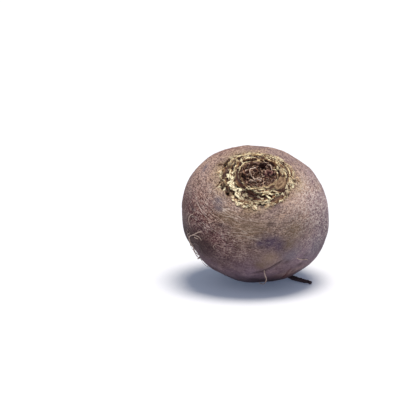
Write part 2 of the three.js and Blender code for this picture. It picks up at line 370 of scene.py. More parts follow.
# Loose papery flakes that show most: radius, angle, length, skew, height, tilt, curl, and how pale they are.
FLAKES = [
    (15, 152, 9, 0.7, 3, 66, 0.1, 1.1), (14.2, 134, 10, -0.6, 2.9, 64, 0.1, 1.05),
    (12.2, 148, 7, 0.6, 2.2, 56, 0.1, 1.15), (11.4, 124, 7, -0.5, 1.8, 48, 0.2, 1),
    (14.6, 112, 7, -0.4, 2, 58, 0.1, 1.1), (19.2, 128, 8, 0.5, 1.6, 74, 0.1, 1.2),
    (17.7, 64, 13, 0.4, 1.3, 56, 0.2, 1.4), (18.3, 164, 3.5, 0.9, 1.8, 70, 0.3, 1.5),
    (18.4, 176, 3, -0.8, 1.6, 70, 0.3, 1.4), (12.6, 174, 4.5, 0.5, 2.2, 66, 0.1, 1.5),
    (13.8, 184, 5, -0.4, 2.6, 70, 0.1, 1.7), (13, 193, 5, 0.5, 2.8, 72, 0.1, 1.8),
    (14.6, 200, 5, -0.5, 2.5, 72, 0.1, 1.6), (13.4, 207, 5.5, 0.5, 2.8, 70, 0.1, 1.8),
    (14.7, 215, 5, 0.4, 2.5, 72, 0.1, 1.7), (13.9, 222, 4.5, -0.6, 2.6, 70, 0.1, 1.8),
    (15.4, 229, 5, 0.5, 2.4, 72, 0.1, 1.7), (16.4, 236, 4, 0.7, 1.8, 70, 0.2, 1.6),
    (18.4, 232, 5, 0.6, 1.8, 78, 0.1, 1.6), (18, 243, 5, -0.5, 2, 78, 0.1, 1.7),
    (17.6, 252, 3.5, 0.6, 1.6, 74, 0.2, 1.4), (17.9, 262, 3, -0.6, 1.4, 74, 0.2, 1.4),
    (17.6, 285, 4, 0.5, 1.6, 72, 0.2, 1.4), (19.3, 236, 3.5, 0.6, 1.6, 80, 0.1, 1.7),
    (19.1, 249, 3, -0.5, 1.5, 80, 0.1, 1.6), (18.9, 262, 2.6, 0.5, 1.2, 78, 0.2, 1.5),
    (18.4, 281, 2.6, -0.5, 1.2, 78, 0.2, 1.5), (17.2, 295, 4, -0.6, 1.6, 72, 0.2, 1.7),
    (15.9, 252, 4.5, -0.6, 1.8, 68, 0.2, 1.1), (16.9, 259, 4, 0.7, 1.6, 70, 0.2, 1.2),
    (15.6, 268, 5, -0.5, 1.8, 66, 0.2, 1.1), (16.4, 276, 4, 0.5, 1.6, 66, 0.2, 1.2),
    (11.2, 240, 6.5, 0.3, 1.3, 30, 0.2, 1.4), (10.7, 257, 8.5, 0, 1.2, 30, 0.2, 1.6),
    (9.3, 268, 8, 0.2, 1.2, 16, 0.2, 1.4), (9.6, 291, 6, 0.5, 1.2, 20, 0.2, 1.3),
    (11.8, 281, 4, 1.8, 1.6, 48, 0.3, 1.5), (12.7, 288, 5, 2.2, 1.6, 50, 0.3, 1.5),
    (13.9, 283, 4.5, 2.1, 1.7, 54, 0.3, 1.6), (12.4, 299, 5, 1.9, 1.4, 48, 0.3, 1.3),
    (15.9, 298, 3, -1.2, 1.9, 56, 0.4, 1.6), (17.3, 304, 3, 0.8, 1.4, 60, 0.4, 1.2),
    (16.7, 313, 3, -1.1, 1.8, 56, 0.4, 1.6), (16.8, 331, 3.5, 1, 1.4, 56, 0.3, 1.2),
    (16.7, 345, 3.5, -1.1, 1.6, 56, 0.3, 1.6), (18, 356, 4, 0.8, 1.1, 60, 0.3, 1.2),
    (18.2, 14, 6, 0.6, 0.9, 62, 0.2, 1.2), (18.8, 33, 7, -0.6, 0.8, 64, 0.2, 1.35),
    (18.7, 54, 7, 0.6, 0.8, 62, 0.2, 1.35), (15.4, 40, 8, -0.8, 1.2, 50, 0.2, 1.2),
    (17.6, 70, 6, 0.8, 0.9, 58, 0.2, 1.25), (16.2, 85, 7, -0.7, 1.1, 56, 0.2, 1.2),
    (12.7, 70, 7, 0.8, 1.1, 44, 0.2, 1.1), (10.6, 38, 9, 1.7, 1.7, 16, 0.1, 1),
    (12, 42, 9, 1.8, 1.6, 24, 0.1, 0.9), (13.5, 46, 9, 1.7, 1.4, 34, 0.1, 1.1),
]


def leaf_foot(leaf, turn):
    """How far out the foot of a leaf base is, from its one end, at -1, to its other, at 1."""
    return leaf.radius + leaf.skew * turn - leaf.clasp * turn**2


# Spots on the crown: hollows between the leaf bases, stretches of leaf bases that have rotted, a place worn
# smooth, and a firmer, pinkish one in the dish. Each has a radius, an angle and half its width out and round.
# Where the skin shows in the hollows it is also painted near black, as painted shade over their real dip.
HOLLOWS = [
    (14, 238, 1.9, 3), (12.6, 226, 1.2, 2.2), (15.6, 309, 1.3, 3.6), (13.4, 260, 1.1, 3.2),
    (18.4, 142, 1.2, 4.2), (18, 120, 1.1, 4), (16.3, 66, 0.8, 6), (13.2, 98, 0.9, 2.6), (16.4, 332, 1, 2.6),
    (18.7, 200, 0.7, 1.4), (18.3, 214, 0.5, 1.4), (5.9, 74, 0.9, 2), (7.6, 182, 0.6, 2.4),
    (14.3, 122, 0.8, 5), (15.9, 152, 0.8, 4.5), (12.4, 158, 0.7, 3.5),
]
ROTTED = [
    (10.2, 188, 1.5, 4.5), (13.2, 250, 1.8, 3.8), (15.2, 322, 1.4, 3.2), (12.6, 84, 1.2, 3.5),
    (16.2, 48, 1, 4), (10.6, 305, 0.8, 3.5), (16.6, 178, 1.2, 3), (15.2, 108, 0.9, 4), (17, 208, 1, 3.5),
]
WORN = [(12.3, 334, 2.3, 4.2)]
ROSY = [(4.8, 12, 2, 2.6)]
CROWN_SPOT_EDGE = 2  # so that their edges are firmer than those of the skin's patches


def spots_at(spots, away, angle, radius, ragged=1, edge=1):
    """From 0, off the spots, to 1 on them. away is how far out a place is, as a radius or as a way."""
    mask = 0
    for spot_away, spot_angle, deep, wide in spots:
        off = angle_between(angle, math.radians(spot_angle)) * radius
        mask = np.maximum(mask, bell((np.hypot((away - spot_away) / deep, off / wide) * ragged) ** edge))
    return mask


def crown_spots(spots, radius, angle, ragged=1):
    return spots_at(spots, radius, angle, radius, ragged, CROWN_SPOT_EDGE)


GOLDEN_SIDE, GOLDEN_RADII = (120, 0.8), (11, 14)  # where the leaf bases are yellower
OUTER_RADII = (15, 18)  # where they are oldest and greyer
NOTCH_DEPTH = 0.7
HOLLOW_LOSS, ROT_LOSS = 0.9, 0.45  # shares of a leaf base's height that are gone
SOUND_STRAWS, SOUND_KEEPS = (1.5, 1.7), 0.6  # the palest ones haven't rotted, and stand in the hollows too
FULL_HEIGHT = 0.4  # what is lower than this many mm shows less of its torn top


def leaf_blade(leaf, seed):
    """A curved crescent, tilted outwards, with its foot sunk in the crown and a torn, fibrous top."""
    stations = int(np.clip(2 * leaf.radius * leaf.half_span / LEAF_STEP, *LEAF_STATIONS))
    turn = np.linspace(-1, 1, stations)
    angle = leaf.angle + leaf.half_span * turn
    outward = outward_at(angle)
    up = math.cos(leaf.tilt) * AXIS + math.sin(leaf.tilt) * outward
    across = math.cos(leaf.tilt) * outward - math.sin(leaf.tilt) * AXIS
    foot_radius = leaf_foot(leaf, turn)
    foot = crown_point(foot_radius, angle)
    run = leaf.radius * leaf.half_span * turn
    taper = 1 - LEAF_TAPER * turn**2

    spots = np.stack([run, 0 * run, 0 * run + 9 * seed], axis=-1)
    edges = np.interp(turn, np.linspace(-1, 1, len(leaf.edges)), leaf.edges)
    notches = NOTCH_DEPTH * ramp(swells(spots, 2.2, 8), 0.35, 0.9)
    torn = 1 + 0.16 * swells(spots, 1.4, 5) + 0.12 * swells(spots, 0.5, 6) - notches
    worn = ramp(crown_spots(WORN, foot_radius, angle), 0, 0.5)
    sound = ramp(leaf.straw, *SOUND_STRAWS)
    places = swells(foot, 3, 27)
    rotted = crown_spots(ROTTED, foot_radius, angle, 1 + 0.3 * places)
    rotted = np.maximum(rotted, ramp(places, 0.5, 1.1)) * (1 - sound)
    sunken = crown_spots(HOLLOWS, foot_radius, angle) * (HOLLOW_LOSS - SOUND_KEEPS * sound)
    standing = (1 - np.maximum(worn, sunken)) * (1 - ROT_LOSS * rotted)
    edge = (LEAF_END_HEIGHT + leaf.height * (1 - turn**4) * edges * torn) * standing - worn

    wave = 0.2 * swells(spots, 2.4, 7)
    inward = lerp(*LEAF_INWARD, ramp(leaf.radius, *INWARD_RADII))
    rings = []
    for level, side, on_cut, _ in LEAF_SECTION:
        above = max(level, 0)
        side = max(side, side * inward)
        frayed = on_cut * 0.16 * swells(spots + [0, 1.5 * side, 0], 0.7, 9)
        rise = edge * above + frayed if level >= 0 else np.full_like(edge, -LEAF_SUNK)
        out = side * lerp(*leaf.thick, above) * taper / 2 + edge * leaf.curl * above**2 + wave * above
        rings.append(foot + rise[:, None] * up + out[:, None] * across)
    rings = np.stack(rings, axis=1)
    rings = rings + 0.1 * swells(rings, 0.7, 10)[..., None] * AXIS

    levels, sides, cuts, rims = np.array(LEAF_SECTION).T
    full = np.clip(edge / FULL_HEIGHT, 0, 1)[:, None]
    rise = np.maximum(levels, 0) * full
    round_it = rise * edge[:, None] + sides * leaf.thick[1] / 2
    fields = dict(
        lie=np.stack([run[:, None] + 0 * rise, round_it, 0 * rise + 5 * seed], axis=-1),
        rise=rise, cut=cuts * full, rim=rims * full, outer=ramp(foot_radius, *OUTER_RADII)[:, None],
        worn=worn[:, None], rotted=rotted[:, None], straw=np.clip(leaf.straw, 0, 1),
        bleached=max(leaf.straw - 1, 0) * 2,
        gold=sector(leaf.angle, *GOLDEN_SIDE) * ramp(leaf.radius, *GOLDEN_RADII),
    )
    return loft(rings, rings[0].mean(axis=0), rings[-1].mean(axis=0), fields)


HEART_SCALES, HEART_REACH, HEART_START, HEART_WIDEST = 70, 8.4, 2.3, 1.3
HEART_VARIES = [(1.2, 3.6), (-0.9, 0.9), (0.5, 1.6), (-0.5, 0.6), (0.2, 1), (-0.4, 0.4), (0, 1.3)]
HEART_THICKNESS = (0.5, 0.25)
# The palest torn edges in the dish: radius, angle, length, skew, height, and how pale they are.
HEART_CURL = [
    (4.5, 168, 8, -1.1, 1.8, 1.6), (3.2, 262, 4.4, -0.5, 1.5, 1.8), (7.4, 32, 7, 0.9, 1.7, 1.3),
    (6.6, 155, 3, 0.6, 1.5, 1.4), (6.2, 285, 3, -0.5, 1.2, 1.3), (2.3, 330, 2, 0.5, 1.4, 1.4),
    (4.6, 124, 3.2, 0.6, 2.2, 2), (3.9, 142, 2.4, -0.6, 2, 2), (5, 236, 3.4, -0.6, 1.8, 2),
    (3.6, 222, 2.4, 0.6, 1.7, 2),
]
CURL_TILT = math.degrees(0.1)
CURL_EDGES, CURL_THICKNESS = (0.5, 1), (0.8, 0.5)


def heart_scales(draws):
    """Torn stubs of the youngest leaves, withered between the cut stalks in the dish."""
    for i in range(HEART_SCALES):
        radius = HEART_REACH * math.sqrt((i + 0.8) / HEART_SCALES)
        angle = HEART_START + i * GOLDEN_ANGLE
        yield scrap(draws, radius, angle, HEART_VARIES, HEART_THICKNESS, widest=HEART_WIDEST)
    curl = [(*sizes, CURL_TILT, 0, straw) for *sizes, straw in HEART_CURL]
    yield from placed_scraps(curl, draws, CURL_EDGES, CURL_THICKNESS)


# ---- cut stalks in the dish

STALKS, STALK_RADII = 13, (1.7, 2.1)
STALK_VARIES = [(-0.8, 0.8), (-0.8, 0.8), (0.4, 1.5), (0.6, 1.2)]  # in the order of cut_stalk
STALK_SPREAD, STALK_FLATNESS, STALK_SUNK, STALK_SIDES = 6.8, 0.75, 1.5, 40
ROTTED_STALK, FLESHY_STALK = 11, 8  # one is hollow to its foot, and one is still pinkish and firm
HOLLOW_LEVEL, ROTTED_LEVEL = 0.5, -1.2  # how high the bottom of its hollow is, as a share of its height


def cut_stalk(number, draws):
    """A short stump, worn round at its rim and hollow on top, with rough torn strands in it."""
    right, back, height, wider = draws.each(STALK_VARIES)
    away = STALK_SPREAD * math.sqrt((number + 0.4) / STALKS)
    place = number * GOLDEN_ANGLE
    foot = crown_point(away, place) + right * RIGHT + back * BACK
    radius = lerp(*STALK_RADII, away / STALK_SPREAD) * wider
    turn = np.linspace(0, 2 * np.pi, STALK_SIDES, endpoint=False) + place
    rim = np.cos(turn)[:, None] * RIGHT + STALK_FLATNESS * np.sin(turn)[:, None] * BACK
    rotted, fleshy = number == ROTTED_STALK, number == FLESHY_STALK
    hollow = ROTTED_LEVEL if rotted else HOLLOW_LEVEL
    # Shares of its height and radius, from inside its hollow to its sunk foot, and how much it is on the rim.
    levels = [(hollow, 0.2, 0), (hollow, 0.42, 0), (0.7, 0.6, 0.2), (0.95, 0.74, 1), (1.05, 0.86, 1),
              (0.95, 0.97, 0.5), (0.5, 1.02, 0), (0, 1, 0), (-STALK_SUNK / height, 1, 0)]
    rises, sizes, rims = np.array(levels).T[..., None]
    rings = foot + sizes[..., None] * radius * rim + rises[..., None] * height * AXIS
    inner = 1 - sizes
    rough = 0.3 * swells(rings, 1.1, 31) + 0.18 * swells(rings, 0.5, 32)
    rings = rings + (rough * np.minimum(1, 0.4 + inner * 2))[..., None] * AXIS
    rings = rings + 0.2 * swells(rings, 1.5, 33)[..., None] * (rings - foot) / radius
    fields = dict(lie=rings, hollow=inner, rim=rims, rotted=rotted, flesh=fleshy)
    return loft(rings, rings[0].mean(axis=0), foot - STALK_SUNK * AXIS, fields)


# ---- the skin

SEGMENTS = 430
CROWN_WAY = 23  # as far as this from the crown's middle, its rows lie closer
ROW_STEPS = (0.25, 0.61)
WRINKLE_STRETCH = 3.5
# How far from the crown's middle marks begin or end, and the sides they show on: middle and width in radians.
OFF_CROWN, FRECKLES_FROM, DARK_FROM = (19, 25), (20, 26), (62, 100)
CROWN_EDGE, DISH_EDGE, SLIT_EDGE = 20.3, 9.8, 18.2
RUGGED_EDGE, LINED_EDGE, FRECKLED_EDGE, SCALY_EDGE = 52, 46, 58, 60
RUGGED_SIDE, LINED_SIDE, FRECKLED_SIDE, SCALY_SIDE = (200, 0.8), (225, 0.75), (172, 1.25), (345, 0.65)
CREASE = [(260, 57.5), (268, 55.8), (275, 53.5), (281, 51), (286, 49), (292, 47)]  # angle and way
CREASE_WIDTH, LIP_WIDTH, LIP_ABOVE = 0.65, 2, 2.2
CRACK = [(55.8, 295.6), (58, 293.4), (60.4, 292.4), (62.8, 290.6)]  # way and angle
CRACK_WIDTH = 0.5
PITS, PIT_STRETCH = 90, 1.8
PIT_VARIES = [(24, 96), (0, 360), (0.5, 1.1)]  # way, angle and size
# How far each mark stands out of the skin, or lies in it, in mm.
MARK_HEIGHTS = dict(ridge=0.35, slit=-1.1, hollow=-1.3, worn=0.45, crease=-1.2, crack=-0.7, pits=-0.3)
# Soft patches of other colours on the skin, and of painted shade: way, angle, and half their length down the
# skin and round it.
PATCHES = dict(
    rust=[(33, 159, 3, 3.5), (31.5, 192, 3, 4), (63, 294, 3, 3.5), (30, 120, 5, 8), (34, 203, 3, 5)],
    # painted_shade is no colour of the skin but painted shade, dark reddish, low on the left and the front.
    painted_shade=[(49, 222, 9, 15), (55, 205, 15, 16), (66, 285, 9, 22), (46, 229, 4.5, 9)],
    ruddy=[(40, 200, 8, 12), (40, 232, 7, 12), (50, 175, 12, 14), (36, 211, 8, 10)],
    lilac=[(42, 342, 15, 15), (52, 308, 12, 15), (30, 20, 6, 12), (60, 70, 15, 20), (58, 270, 8, 14),
           (64, 312, 8, 12)],
    plum=[(48, 338, 12, 8), (38, 277, 6, 10), (47, 264, 7, 10), (50, 255, 6, 8), (43, 291, 6, 6),
          (30, 300, 4, 7), (24, 290, 2, 5)],
    blue=[(37, 279, 3.5, 4.8), (39.5, 285, 3.2, 3.2), (37.5, 271, 2.2, 3.2)],
    olive=[(45.8, 277.2, 4.4, 5.8), (49.5, 272.5, 3, 4), (30, 262, 7, 14), (40, 294, 4, 5), (28, 236, 4, 7),
           (35, 303, 6, 9)],
    slate=[(46.8, 295, 3.5, 5), (52, 320, 5, 8), (24.5, 215, 2.6, 4), (27, 222, 1.5, 3), (30, 156, 1.3, 3.5)],
    blush=[(46, 277, 3.6, 5.2), (31, 163, 7, 13), (59, 298, 2, 7), (26, 330, 5, 10)],
    straw=[(20.5, 160, 4, 10), (20.5, 118, 4, 9), (20.5, 195, 3, 6), (20.5, 262, 2.5, 6), (21.5, 350, 3, 6)],
)
SLIT_WIDTH = 0.5  # half of it, between one leaf base and the next


def scar_marks(radius, angle, leaves):
    """The slits outside the leaf bases and the low ridges they stand on, each from 0 to 1."""
    slit = ridge = 0
    for leaf in leaves:
        turn = angle_between(angle, leaf.angle) / leaf.half_span
        along = np.clip(1 - turn**4, 0, 1)
        behind = radius - leaf_foot(leaf, turn)
        half = leaf.thick[0] / 2
        slit = np.maximum(slit, along * bell((behind - half - SLIT_WIDTH) / SLIT_WIDTH))
        ridge = np.maximum(ridge, along * bell(behind / (half + 0.2)))
    return slit, ridge


def crease_fade(angle):
    """The fold in the front of the skin: 0 past its ends and 1 along it, and the way to its line."""
    turns, ways = zip(*CREASE)
    degrees = np.degrees(angle)
    fade = ramp(degrees, turns[0], turns[0] + 14) * ramp(-degrees, -turns[-1], -turns[-1] + 8)
    return fade, np.interp(degrees, turns, ways)


def crease_mark(way, angle):
    fade, line = crease_fade(angle)
    return fade * bell((way - line) / CREASE_WIDTH)


def crease_lip(way, angle):
    """Its upper lip, which bulges above its line."""
    fade, line = crease_fade(angle)
    return fade * bell((way - line + LIP_ABOVE) / LIP_WIDTH)


def crack_mark(way, angle, radius):
    """The short crooked crack low on the skin's right: 0 off it, 1 on its line."""
    ways, turns = zip(*CRACK)
    off = angle_between(angle, np.radians(np.interp(way, ways, turns))) * radius
    fade = ramp(way, ways[0] - 1, ways[0] + 1) * ramp(-way, -ways[-1] - 1, -ways[-1] + 1)
    return fade * bell(off / CRACK_WIDTH)


def pits_of_the_skin(way, angle, radius):
    """Shallow pits, wider round the root than along it."""
    draws = Draws(404)
    pits = [draws.each(PIT_VARIES) for _ in range(PITS)]
    return spots_at([(*pit, PIT_STRETCH * pit[-1]) for pit in pits], way, angle, radius)


def skin_marks(way, angle, radius, lie):
    """What shows where on the skin, each from 0 to 1."""
    near = ramp(way, *OFF_CROWN)
    crown = ramp(CROWN_EDGE + 1.5 * swells(lie, 4, 1) + 0.6 * swells(lie, 1.5, 25) - way, 0, 4.5)
    dish = ramp(DISH_EDGE + 0.5 * swells(lie, 3, 2) - way, 0, 1.2)
    worn = crown_spots(WORN, radius, angle, 1 + 0.15 * swells(lie, 3, 24))
    worn = ramp(worn, 0, 0.5) * (way < CROWN_WAY)
    slit, ridge = scar_marks(radius, angle, LEAVES + LEAF_SHREDS + LEAF_FLAKES)
    scarred = ramp(CROWN_WAY - way, 0, 3) * (1 - worn)
    slit *= scarred * ramp(SLIT_EDGE + swells(lie, 2.5, 22) - radius, 0, 2.5)
    hollow = crown_spots(HOLLOWS, radius, angle, 1 + 0.3 * swells(lie, 2, 19)) * (way < CROWN_WAY)
    rugged = ramp(RUGGED_EDGE + 14 * sector(angle, *RUGGED_SIDE) + 5 * swells(lie, 12, 20) - way, 0, 24)
    lined = near * ramp(LINED_EDGE + 4 * swells(lie, 9, 26) - way, 0, 12)
    freckled = ramp(way, *FRECKLES_FROM) * ramp(FRECKLED_EDGE + 8 * swells(lie, 8, 28) - way, 0, 20)
    ragged = 1 + 0.16 * swells(lie, 5, 21) + 0.1 * swells(lie, 2, 23)
    patches = {name: spots_at(spots, way, angle, radius, ragged) for name, spots in PATCHES.items()}
    return dict(
        crown=crown, dish=dish, slit=slit, hollow=hollow, ridge=ridge * scarred, worn=worn,
        crease=crease_mark(way, angle), crack=crack_mark(way, angle, radius),
        rugged=rugged, lined=lined * lerp(0.15, 1, sector(angle, *LINED_SIDE)),
        scaly=near * sector(angle, *SCALY_SIDE), freckled=freckled * sector(angle, *FRECKLED_SIDE),
        rosy=crown_spots(ROSY, radius, angle), root=ramp(way, *DARK_FROM), down=way / ROOT_WAY,
        pits=pits_of_the_skin(way, angle, radius), **patches,
    )


def skin_relief(way, angle, lie, marks):
    """How far the skin stands out from the bare globe, in mm."""
    crown, dish, rugged = marks["crown"], marks["dish"], marks["rugged"]
    drawn_out = lie / [WRINKLE_STRETCH, WRINKLE_STRETCH, 1]
    patchy = np.clip(0.55 + 0.45 * swells(lie, 14, 11), 0.1, 1.2)
    wrinkles = np.abs(swells(drawn_out, 1.3, 12)) * patchy * (1 - crown) * lerp(0.3, 1, rugged)
    relief = 0.16 * swells(lie, 11, 13) + 0.09 * swells(lie, 4.5, 14) * (1 - 0.5 * crown)
    relief += 0.13 * wrinkles + 0.05 * swells(lie, 1.5, 15) * (lerp(0.4, 1, rugged) + 2 * marks["root"])
    relief += dish * (0.35 * swells(lie, 1.4, 16) + 0.25 * swells(lie, 0.8, 17))
    relief += 0.14 * crown * (1 - marks["worn"]) * swells(lie, 1.1, 18) + 0.5 * crease_lip(way, angle)
    for name, height in MARK_HEIGHTS.items():
        relief += height * marks[name]
    return relief


def skin():
    near = np.arange(ROW_STEPS[0], CROWN_WAY, ROW_STEPS[0])
    far = np.arange(CROWN_WAY, ROOT_WAY - ROW_STEPS[1] / 2, ROW_STEPS[1])
    angles = np.linspace(0, 2 * np.pi, SEGMENTS, endpoint=False)
    way, angle = np.meshgrid(np.concatenate([near, far]), angles, indexing="ij")
    radius = np.interp(way, WAY, RADIUS)
    bare = skin_at(way, angle)
    around = np.roll(bare, -1, axis=1) - np.roll(bare, 1, axis=1)
    out = unit(np.cross(np.gradient(bare, axis=0), around))
    lie = np.stack([radius * np.cos(angle), radius * np.sin(angle), way], axis=-1)
    marks = skin_marks(way, angle, radius, lie)
    rings = bare + skin_relief(way, angle, lie, marks)[..., None] * out
    # Where the skin is scaly it is less rugged to the eye, and the scales thin out towards the root.
    marks["rugged"] = marks["rugged"] * (1 - 0.45 * marks["scaly"])
    marks["scaly"] = marks["scaly"] * ramp(SCALY_EDGE - way, 0, 15)
    crown_middle = skin_at(0, 0) + rings[0].mean(axis=0) - bare[0].mean(axis=0)
    return loft(rings, crown_middle, skin_at(ROOT_WAY, 0), {"lie": lie, **marks})


# ---- the tail and the side roots

TAIL_PATH = np.array(
    [(-5, 10, 8.5), (3, 17.4, 4.6), (10, 16.2, 2.7), (15.8, 8.5, 1.7), (18.6, -2, 1.1), (28, -11.5, 0.95)]
)
TAIL_RADII, TAIL_KNOTS = (1.7, 0.9), 0.08
NECK_FLARE, NECK_FADE = 5, 0.19
TAIL_STEPS, TAIL_SIDES = 300, 48
TAIL_GRAIN = (4, 4, 0.25)  # so that patterns drawn out round the root run lengthwise here


def smooth_path(points, steps):
    """A smooth curve through points, at even steps: a centripetal Catmull-Rom spline."""
    before = 2 * points[0] - points[1]
    after = 2 * points[-1] - points[-2]
    knots = np.vstack([before, points, after])
    fine = []
    for p0, p1, p2, p3 in zip(knots, knots[1:], knots[2:], knots[3:]):
        t01, t12, t23 = (np.linalg.norm(b - a) ** 0.5 for a, b in ((p0, p1), (p1, p2), (p2, p3)))
        start = ((p1 - p0) / t01 - (p2 - p0) / (t01 + t12) + (p2 - p1) / t12) * t12
        end = ((p2 - p1) / t12 - (p3 - p1) / (t12 + t23) + (p3 - p2) / t23) * t12
        t = np.linspace(0, 1, 200, endpoint=False)[:, None]
        cubic = 2 * t**3 - 3 * t**2
        fine.append((1 + cubic) * p1 - cubic * p2 + (t**3 - 2 * t**2 + t) * start + (t**3 - t**2) * end)
    fine = np.vstack([*fine, points[-1]])
    run = run_along(fine)
    even = np.linspace(0, run[-1], steps + 1)
    return np.stack([np.interp(even, run, fine[:, k]) for k in range(3)], axis=1)


def tail_bark(rings):
    return 0.12 * swells(rings, 2.5, 41) + 0.08 * swells(rings, 0.9, 42)


def tail():
    path = smooth_path(TAIL_PATH, TAIL_STEPS)
    share = np.linspace(0, 1, TAIL_STEPS + 1)
    flare = NECK_FLARE * np.exp(-share / NECK_FADE)
    radii = lerp(*TAIL_RADII, share) + flare + TAIL_KNOTS * np.sin(31 * share)
    return tube(path, radii, TAIL_SIDES, dict(root=1, rugged=0.5, down=1), tail_bark, TAIL_GRAIN)


ROOTLETS, ROOTLET_SPAN = 4, (0.97, 0.55)  # in each furrow, and from where to where, as shares of HALF_WIDTH
ROOTLET_VARIES = [(0, 0.6), (-0.08, 0.08), (-1, 1), (4, 7)]  # in the order of side_roots
ROOTLET_SUNK, ROOTLET_RADII = 1.5, (0.55, 0.3)
ROOTLET_STEPS, ROOTLET_SIDES = 40, 10


def side_roots(draws):
    """The stout side roots of the two furrows, where the solid has them."""
    for furrow_angle in FURROW_ANGLES:
        for i in range(ROOTLETS):
            along, aside, lean, length = draws.each(ROOTLET_VARIES)
            radius = HALF_WIDTH * lerp(*ROOTLET_SPAN, (i + along) / ROOTLETS)
            foot = globe_point(radius, furrow_angle + aside, root_height(radius))
            foot = foot + bell(radius / NECK_REACH) * NECK_PULL
            outward = unit(foot - CENTRE)
            sideways = unit(np.cross(AXIS, outward)) * lean
            start = foot - ROOTLET_SUNK * outward
            knee = foot + 0.35 * length * outward
            tip = foot + 0.1 * length * outward + 0.7 * length * sideways - 0.4 * length * AXIS
            t = np.linspace(0, 1, ROOTLET_STEPS)[:, None]
            path = (1 - t) ** 2 * start + 2 * t * (1 - t) * knee + t**2 * tip
            path = path + 0.12 * t * np.stack([swells(path, 1.6, 50 + k) for k in range(3)], axis=1)
            radii = lerp(*ROOTLET_RADII, t[:, 0]) * (1 + 0.12 * swells(path, 0.8, 54))
            yield tube(path, radii, ROOTLET_SIDES, dict(pale=0.35))


HAIRS, HAIR_STEPS, HAIR_SIDES = 46, 46, 6
# In the order of hair_roots, with ways, lengths, lifts and radii in mm, and the others in radians or shares.
HAIR_VARIES = [
    (46, 92), (-0.5, 0.5), (0.3, 1), (4, 14), (-1, 1), (-0.35, 0.35), (4, 11), (0, 6), (0.3, 1.6),
    (0.12, 0.24), (0.3, 1),
]
HAIR_WAYS = (30, ROOT_WAY - 4)  # as far as they reach
LOOP_RADII, LOOP_STEPS, LOOP_SIDES = (0.27, 0.17), 60, 8
# Hair roots that show most, as points of way, angle and height over the skin. Some branch off or end free.
LOOPS = [
    [(41, 221, -0.4), (42.2, 219, 1), (44.7, 216.5, 1.6), (47.5, 213, 1.8), (50.5, 211.5, 1.5),
     (52.5, 214, 1.6), (54, 216, 1), (56.5, 217.5, 1.4), (59, 220.5, -0.3)],
    [(44.7, 217, 1.5), (44, 221, 1), (45, 223, 0.3), (46.5, 222.5, -0.2)],
    [(47, 216, 0.4), (46, 218.5, 0.9), (46.2, 220.5, -0.2)],
    [(53.8, 274.5, -0.6), (55.5, 275, 0.9), (59, 276.4, 1.6), (63, 275, 2.4), (66, 272, 1)],
    [(50, 300, -0.4), (52, 304, 0.3), (54, 309, 0.25), (57, 313, -0.2)],
    [(38.8, 204.5, -0.3), (39.4, 203.8, 0.8), (41, 204.4, 1.2), (43, 205.8, 0.9), (44.2, 207.8, -0.2)],
]


def above_skin(ways, angles, lifts):
    place = skin_at(ways, angles)
    return place + lifts[:, None] * unit(place - CENTRE)


def hair_roots(draws):
    """Fine curly rootlets along the skin, most of them in the furrows and towards the tail."""
    for i in range(HAIRS):
        varied = draws.each(HAIR_VARIES)
        way, aside, crowding, length, heading, bend, curls, start, lift, thick, pale = varied
        angle = FURROW_ANGLES[i % 2] + aside * crowding
        heading += np.pi / 2 if i % 3 else -np.pi / 2
        share = np.linspace(0, 1, HAIR_STEPS)
        turn = heading + 6 * bend * share + 0.7 * np.sin(curls * share + start)
        step = length / HAIR_STEPS
        ways = np.clip(way + np.cumsum(np.sin(turn)) * step, *HAIR_WAYS)
        radius = np.interp(ways, WAY, RADIUS)
        angles = angle + np.cumsum(np.cos(turn) * step / np.maximum(radius, 6))
        lifts = lift * np.sin(np.pi * share) ** 0.7 - 0.25 * (1 - share)
        path = above_skin(ways, angles, lifts)
        yield tube(path, thick * lerp(1, 0.4, share), HAIR_SIDES, dict(pale=pale))
    for loop in LOOPS:
        ways, angles, lifts = np.array(loop).T
        path = smooth_path(above_skin(ways, np.radians(angles), lifts), LOOP_STEPS)
        radii = lerp(*LOOP_RADII, np.linspace(0, 1, len(path))) * (1 + 0.15 * swells(path, 1, 61))
        yield tube(path, radii, LOOP_SIDES, dict(pale=1.1))


# ---- finishes

TISSUE_IOR = 1.45  # of dry plant tissue


def linear(hex_colour):
    """An sRGB colour such as #8a6f6c, made linear."""
    parts = [int(hex_colour[i : i + 2], 16) / 255 for i in (1, 3, 5)]
    return (*(part / 12.92 if part <= 0.04045 else ((part + 0.055) / 1.055) ** 2.4 for part in parts), 1)


def add(tree, kind, inputs=None, output=0, **settings):
    """Adds a node with its settings and its inputs, as values or as sockets to link. Gives its output."""
    node = tree.nodes.new("ShaderNode" + kind)
    for name, value in settings.items():
        setattr(node, name, value)
    for socket, value in (inputs or {}).items():
        if isinstance(value, bpy.types.NodeSocket):
            tree.links.new(value, node.inputs[socket])
        else:
            node.inputs[socket].default_value = value
    return node.outputs[output] if node.outputs else None


def bare_tree(owner):
    """The node tree of a new material or world, with nothing in it."""
    owner.use_nodes = True
    owner.node_tree.nodes.clear()
    return owner.node_tree


